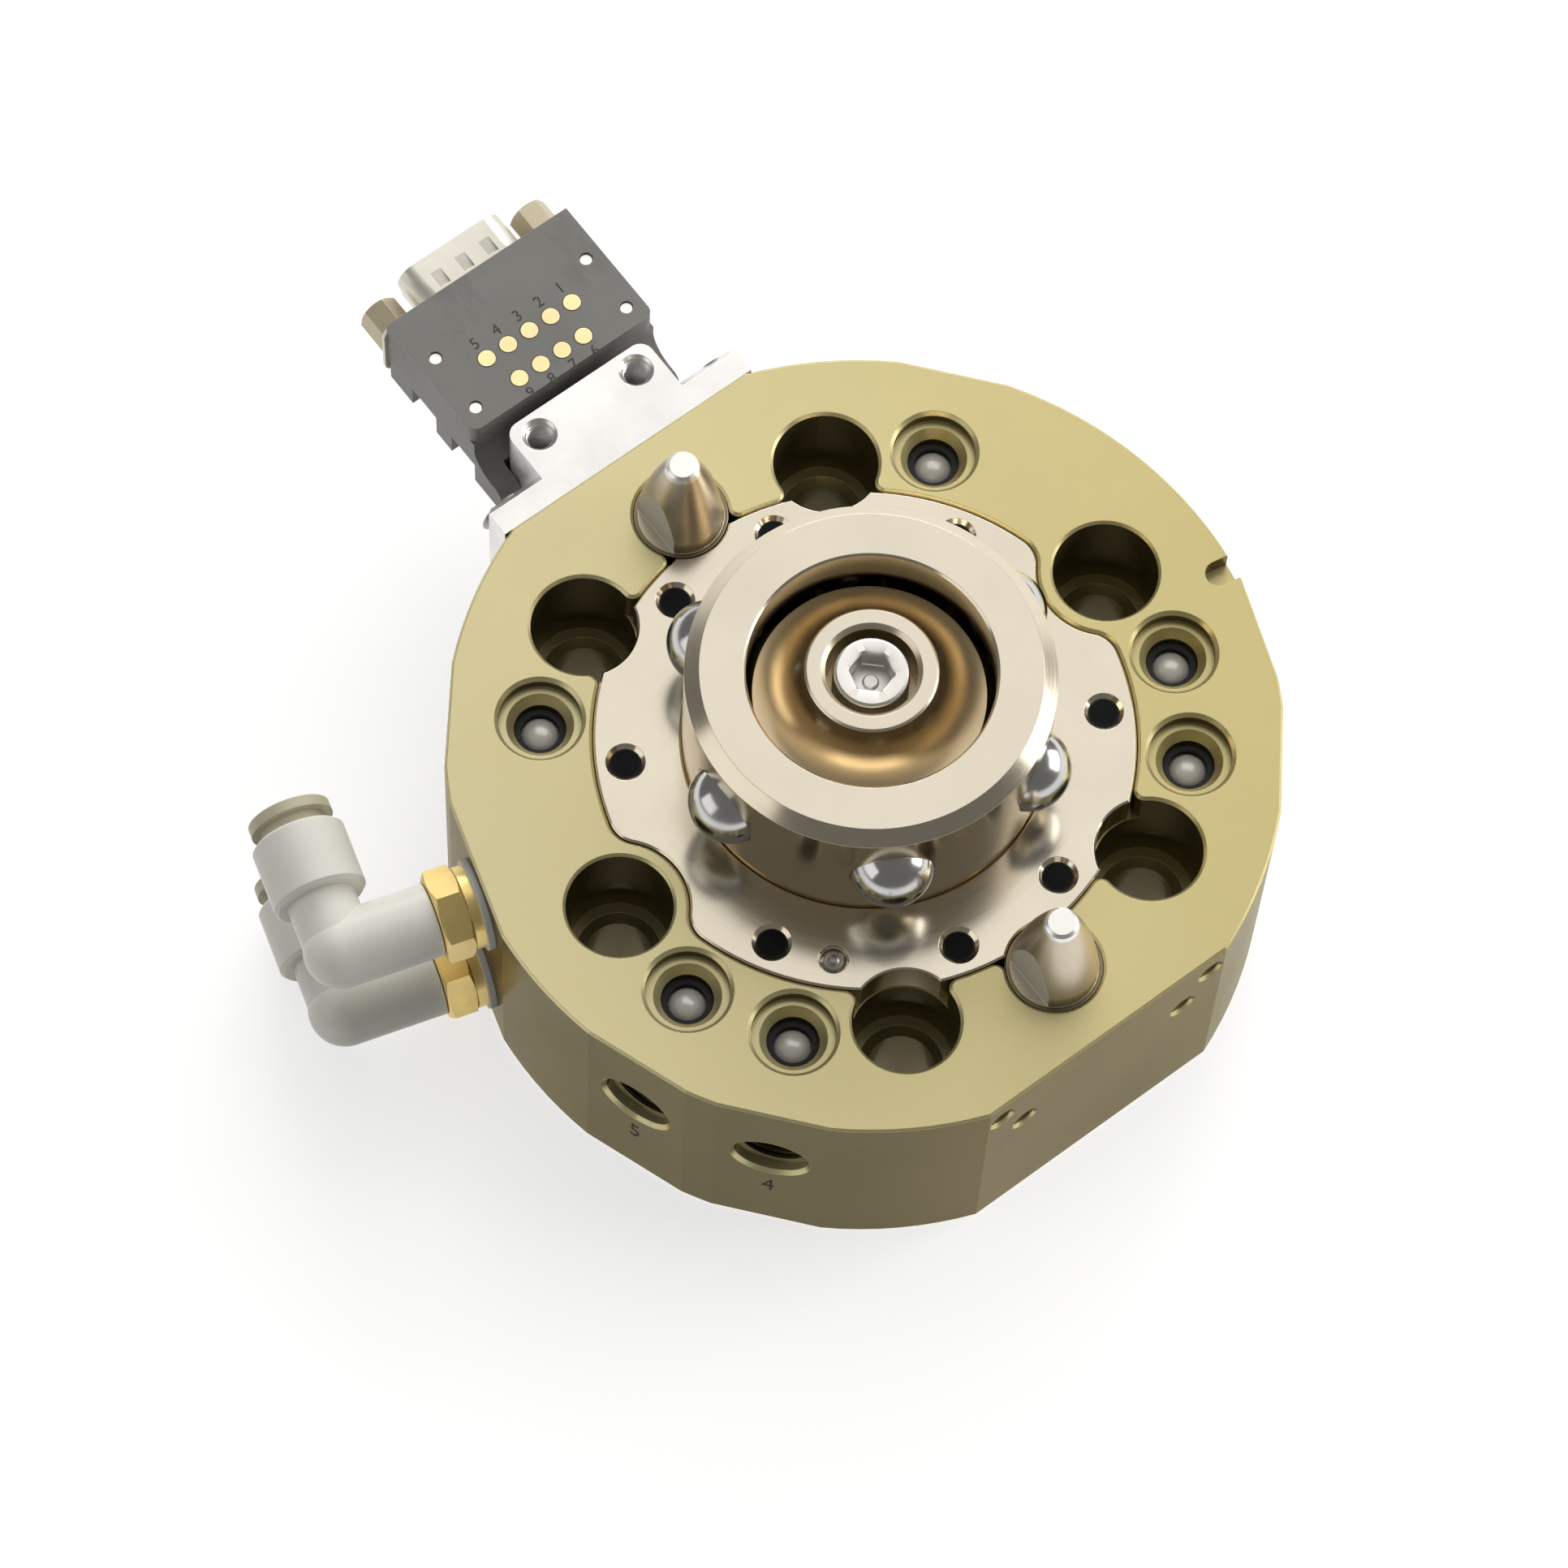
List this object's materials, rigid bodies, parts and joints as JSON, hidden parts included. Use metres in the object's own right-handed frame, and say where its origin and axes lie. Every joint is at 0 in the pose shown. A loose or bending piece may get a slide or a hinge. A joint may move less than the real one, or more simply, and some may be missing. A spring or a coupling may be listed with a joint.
{
  "type": "robotic tool changer",
  "caption": "Robot side of a pneumatic tool changer: round flanged body, ball-lock coupling with cam and piston, locating pins, air ports with elbows and an electrical contact module.",
  "frame": {"origin": "centre of the robot bolt circle, on the robot-side face", "axes": "+Z along the coupling towards the tool, +Y towards the electrical module"},
  "size_m": [0.1307, 0.1437, 0.0584],
  "materials": {
    "hard_anodised_body": "olive-gold hard anodising over fine machining",
    "nickel_steel": "turned and ground, nickel plated",
    "cam_steel": "hardened and straw tempered, smooth turned",
    "lock_ball_steel": "polished bearing ball",
    "check_ball_steel": "polished bearing ball",
    "pin_steel": "hardened, turned, dark with bright edges",
    "dowel_steel": "turned",
    "black_screw_steel": "black oxide",
    "cam_screw_steel": "bright stainless cap screw, knurled",
    "inner_steel": "ground",
    "spring_steel": "drawn wire",
    "inner_aluminium": "turned",
    "bracket_aluminium": "bare, fly cut",
    "bracket_screw_steel": "plain",
    "seal_rubber": "matt black",
    "black_insulator": "matt moulded and machined plastic",
    "connector_insulator": "moulded plastic",
    "gold_contact": "gold flash",
    "contact_pin_metal": "plated",
    "connector_plating": "nickel plated pressing",
    "jack_plating": "yellowish zinc plating",
    "fitting_brass": "machined, bright",
    "elbow_plastic": "pale grey-green moulding",
    "ring_plastic": "pale grey moulding",
    "white_nylon": "plain"
  },
  "bodies": {
    "root": {"master_body": "hard_anodised_body", "lock_plate": "nickel_steel", "male_coupling": "nickel_steel", "check_spring_1": "spring_steel", "check_spring_2": "spring_steel", "check_spring_3": "spring_steel", "check_spring_4": "spring_steel", "check_spring_5": "spring_steel", "check_spring_6": "spring_steel", "locating_pin_1": "pin_steel", "locating_pin_2": "pin_steel", "plate_dowel": "dowel_steel", "bracket_dowels": "dowel_steel", "plate_screws": "black_screw_steel", "pin_screws": "black_screw_steel", "module_screw": "black_screw_steel", "cover_circlip": "inner_steel", "chamber_head": "inner_aluminium", "cylinder_cover": "inner_aluminium", "adapter_bracket": "bracket_aluminium", "bracket_screws": "bracket_screw_steel", "rod_seal": "seal_rubber", "head_oring": "seal_rubber", "cover_oring": "seal_rubber", "check_seats": "seal_rubber", "contact_block": "black_insulator", "module_housing": "black_insulator", "connector_insert": "connector_insulator", "contact_pads": "gold_contact", "block_pins": "contact_pin_metal", "connector_pins": "contact_pin_metal", "connector_shell": "connector_plating", "jackscrews": "jack_plating", "upper_stud": "fitting_brass", "lower_stud": "fitting_brass", "upper_washer": "white_nylon", "lower_washer": "white_nylon"},
    "piston": {"piston": "inner_aluminium", "piston_rod": "inner_steel", "piston_nut": "inner_steel", "piston_seal": "seal_rubber", "locking_cam": "cam_steel", "cam_screw": "cam_screw_steel"},
    "lock_ball_1": {"lock_ball_1": "lock_ball_steel"},
    "check_ball_1": {"check_ball_1": "check_ball_steel"},
    "lock_ball_2": {"lock_ball_2": "lock_ball_steel"},
    "check_ball_2": {"check_ball_2": "check_ball_steel"},
    "lock_ball_3": {"lock_ball_3": "lock_ball_steel"},
    "check_ball_3": {"check_ball_3": "check_ball_steel"},
    "lock_ball_4": {"lock_ball_4": "lock_ball_steel"},
    "check_ball_4": {"check_ball_4": "check_ball_steel"},
    "lock_ball_5": {"lock_ball_5": "lock_ball_steel"},
    "check_ball_5": {"check_ball_5": "check_ball_steel"},
    "lock_ball_6": {"lock_ball_6": "lock_ball_steel"},
    "check_ball_6": {"check_ball_6": "check_ball_steel"},
    "upper_elbow": {"upper_elbow": "elbow_plastic"},
    "upper_release_ring": {"upper_release_ring": "ring_plastic"},
    "lower_elbow": {"lower_elbow": "elbow_plastic"},
    "lower_release_ring": {"lower_release_ring": "ring_plastic"}
  },
  "joints": [
    {"name": "piston_slide", "type": "slide", "parent": "root", "child": "piston", "axis": [0, 0, 1], "range_m": [-0.012, 0]},
    {"name": "lock_ball_1_slide", "type": "slide", "parent": "root", "child": "lock_ball_1", "axis": [1, 0, 0], "range_m": [-0.00395, 0]},
    {"name": "lock_ball_2_slide", "type": "slide", "parent": "root", "child": "lock_ball_2", "axis": [0.5, 0.866, 0], "range_m": [-0.00395, 0]},
    {"name": "lock_ball_3_slide", "type": "slide", "parent": "root", "child": "lock_ball_3", "axis": [-0.5, 0.866, 0], "range_m": [-0.00395, 0]},
    {"name": "lock_ball_4_slide", "type": "slide", "parent": "root", "child": "lock_ball_4", "axis": [-1, 0, 0], "range_m": [-0.00395, 0]},
    {"name": "lock_ball_5_slide", "type": "slide", "parent": "root", "child": "lock_ball_5", "axis": [-0.5, -0.866, 0], "range_m": [-0.00395, 0]},
    {"name": "lock_ball_6_slide", "type": "slide", "parent": "root", "child": "lock_ball_6", "axis": [0.5, -0.866, 0], "range_m": [-0.00395, 0]},
    {"name": "check_ball_1_slide", "type": "slide", "parent": "root", "child": "check_ball_1", "axis": [0, 0, -1], "range_m": [0, 0.002], "stiffness_N_per_m": 150, "springref_m": -0.002, "deforming": ["check_spring_1"]},
    {"name": "check_ball_2_slide", "type": "slide", "parent": "root", "child": "check_ball_2", "axis": [0, 0, -1], "range_m": [0, 0.002], "stiffness_N_per_m": 150, "springref_m": -0.002, "deforming": ["check_spring_2"]},
    {"name": "check_ball_3_slide", "type": "slide", "parent": "root", "child": "check_ball_3", "axis": [0, 0, -1], "range_m": [0, 0.002], "stiffness_N_per_m": 150, "springref_m": -0.002, "deforming": ["check_spring_3"]},
    {"name": "check_ball_4_slide", "type": "slide", "parent": "root", "child": "check_ball_4", "axis": [0, 0, -1], "range_m": [0, 0.002], "stiffness_N_per_m": 150, "springref_m": -0.002, "deforming": ["check_spring_4"]},
    {"name": "check_ball_5_slide", "type": "slide", "parent": "root", "child": "check_ball_5", "axis": [0, 0, -1], "range_m": [0, 0.002], "stiffness_N_per_m": 150, "springref_m": -0.002, "deforming": ["check_spring_5"]},
    {"name": "check_ball_6_slide", "type": "slide", "parent": "root", "child": "check_ball_6", "axis": [0, 0, -1], "range_m": [0, 0.002], "stiffness_N_per_m": 150, "springref_m": -0.002, "deforming": ["check_spring_6"]},
    {"name": "upper_elbow_swivel", "type": "hinge", "parent": "root", "child": "upper_elbow", "pos_m": [-0.07077, 0.01913, 0.02885], "axis": [0.9598, -0.2807, 0], "range_deg": [0, 180]},
    {"name": "upper_ring_push", "type": "slide", "parent": "upper_elbow", "child": "upper_release_ring", "axis": [-0.2807, -0.9598, 0], "range_m": [0, 0.001], "stiffness_N_per_m": 300, "springref_m": -0.001},
    {"name": "lower_elbow_swivel", "type": "hinge", "parent": "root", "child": "lower_elbow", "pos_m": [-0.07077, 0.01913, 0.00815], "axis": [-0.9598, 0.2807, 0], "range_deg": [0, 180]},
    {"name": "lower_ring_push", "type": "slide", "parent": "lower_elbow", "child": "lower_release_ring", "axis": [-0.2807, -0.9598, 0], "range_m": [0, 0.001], "stiffness_N_per_m": 300, "springref_m": -0.001}
  ],
  "couplings": [
    {"joint": "lock_ball_1_slide", "follows": "piston_slide", "ratio": 0.32878},
    {"joint": "lock_ball_2_slide", "follows": "piston_slide", "ratio": 0.32878},
    {"joint": "lock_ball_3_slide", "follows": "piston_slide", "ratio": 0.32878},
    {"joint": "lock_ball_4_slide", "follows": "piston_slide", "ratio": 0.32878},
    {"joint": "lock_ball_5_slide", "follows": "piston_slide", "ratio": 0.32878},
    {"joint": "lock_ball_6_slide", "follows": "piston_slide", "ratio": 0.32878}
  ]
}
